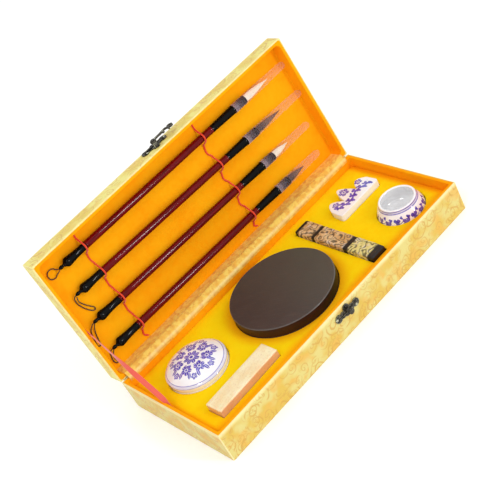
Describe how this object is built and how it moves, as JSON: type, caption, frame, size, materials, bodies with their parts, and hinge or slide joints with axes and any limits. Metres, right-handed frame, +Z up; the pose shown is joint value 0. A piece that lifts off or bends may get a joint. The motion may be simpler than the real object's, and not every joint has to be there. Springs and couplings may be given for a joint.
{
  "type": "calligraphy set box",
  "caption": "Brocade-covered calligraphy case with a hinged lid holding capped brushes under elastic cords, and writing tools set in a velvet insert.",
  "frame": {"origin": "centre of the base tray's footprint, on the surface that the box stands on", "axes": "+X to the right along the box seen from its front, +Y to the hinge at the back, +Z up"},
  "size_m": [0.32, 0.187, 0.1771],
  "materials": {
    "board": "grey board, matt",
    "brocade": "woven silk brocade, soft sheen",
    "velvet_orange": "short velvet pile",
    "velvet_yellow": "short velvet pile",
    "bronze": "antiqued, dark in the hollows",
    "ribbon": "satin ribbon",
    "elastic": "braided elastic cord",
    "lacquer": "gloss lacquer",
    "horn": "polished horn",
    "white_hair": "starched hair",
    "brown_hair": "starched hair",
    "clear_cap": "clear, slightly cloudy",
    "thread": "waxed thread",
    "slate": "honed stone, waxed",
    "porcelain": "clear glaze over blue brushwork",
    "seal_paste": "oily paste",
    "seal_stone": "polished soft stone",
    "ink_stick": "pressed soot ink with gilt relief"
  },
  "bodies": {
    "base": {"base_board": "board", "base_brocade": "brocade", "base_lining": "velvet_orange", "insert": "velvet_yellow", "catch_plate": "bronze", "catch_knob": "bronze", "catch_nails": "bronze", "inner_hinge_cloth": "brocade", "outer_hinge_cloth": "brocade", "stay_ribbon": "ribbon"},
    "lid": {"lid_board": "board", "lid_brocade": "brocade", "lid_lining": "velvet_orange", "hasp_plate": "bronze", "hasp_nails": "bronze", "hook_rivet": "bronze", "elastic_runs": "elastic", "elastic_loops": "elastic"},
    "hook": {"hasp_hook": "bronze"},
    "brush_1": {"brush_1_handle": "lacquer", "brush_1_tail": "horn", "brush_1_ferrule": "horn", "brush_1_tuft": "white_hair", "brush_1_cap": "clear_cap", "brush_1_thread": "thread"},
    "brush_2": {"brush_2_handle": "lacquer", "brush_2_tail": "horn", "brush_2_ferrule": "horn", "brush_2_tuft": "brown_hair", "brush_2_cap": "clear_cap", "brush_2_thread": "thread"},
    "brush_3": {"brush_3_handle": "lacquer", "brush_3_tail": "horn", "brush_3_ferrule": "horn", "brush_3_tuft": "white_hair", "brush_3_cap": "clear_cap", "brush_3_thread": "thread"},
    "brush_4": {"brush_4_handle": "lacquer", "brush_4_tail": "horn", "brush_4_ferrule": "horn", "brush_4_tuft": "brown_hair", "brush_4_cap": "clear_cap", "brush_4_thread": "thread"},
    "ink_stone": {"ink_stone": "slate"},
    "ink_stone_cover": {"ink_stone_cover": "slate"},
    "paste_box": {"paste_box": "porcelain", "seal_paste": "seal_paste"},
    "paste_box_lid": {"paste_box_lid": "porcelain"},
    "seal_stone": {"seal_stone": "seal_stone"},
    "water_dish": {"water_dish": "porcelain"},
    "ink_stick": {"ink_stick": "ink_stick"},
    "brush_rest": {"brush_rest": "porcelain"}
  },
  "joints": [
    {"name": "lid_hinge", "type": "hinge", "parent": "base", "child": "lid", "pos_m": [0, 0.07, 0.03165], "axis": [-1, 0, 0], "range_deg": [-98, 0], "deforming": ["inner_hinge_cloth", "outer_hinge_cloth", "stay_ribbon"]},
    {"name": "hook_turn", "type": "hinge", "parent": "lid", "child": "hook", "pos_m": [0, 0.09858, 0.17285], "axis": [0, -0.1392, -0.9903], "range_deg": [0, 90]},
    {"name": "brush_1_lift", "type": "slide", "parent": "lid", "child": "brush_1", "axis": [0, -0.9903, 0.1392], "range_m": [0, 0.02], "deforming": ["elastic_loops"]},
    {"name": "brush_2_lift", "type": "slide", "parent": "lid", "child": "brush_2", "axis": [0, -0.9903, 0.1392], "range_m": [0, 0.02]},
    {"name": "brush_3_lift", "type": "slide", "parent": "lid", "child": "brush_3", "axis": [0, -0.9903, 0.1392], "range_m": [0, 0.02]},
    {"name": "brush_4_lift", "type": "slide", "parent": "lid", "child": "brush_4", "axis": [0, -0.9903, 0.1392], "range_m": [0, 0.02]},
    {"name": "ink_stone_lift", "type": "slide", "parent": "base", "child": "ink_stone", "axis": [0, 0, 1], "range_m": [0, 0.032]},
    {"name": "ink_stone_cover_lift", "type": "slide", "parent": "ink_stone", "child": "ink_stone_cover", "axis": [0, 0, 1], "range_m": [0, 0.02]},
    {"name": "paste_box_lift", "type": "slide", "parent": "base", "child": "paste_box", "axis": [0, 0, 1], "range_m": [0, 0.032]},
    {"name": "paste_box_lid_lift", "type": "slide", "parent": "paste_box", "child": "paste_box_lid", "axis": [0, 0, 1], "range_m": [0, 0.02]},
    {"name": "seal_stone_lift", "type": "slide", "parent": "base", "child": "seal_stone", "axis": [0, 0, 1], "range_m": [0, 0.032]},
    {"name": "water_dish_lift", "type": "slide", "parent": "base", "child": "water_dish", "axis": [0, 0, 1], "range_m": [0, 0.032]},
    {"name": "ink_stick_lift", "type": "slide", "parent": "base", "child": "ink_stick", "axis": [0, 0, 1], "range_m": [0, 0.032]},
    {"name": "brush_rest_lift", "type": "slide", "parent": "base", "child": "brush_rest", "axis": [0, 0, 1], "range_m": [0, 0.032]}
  ]
}
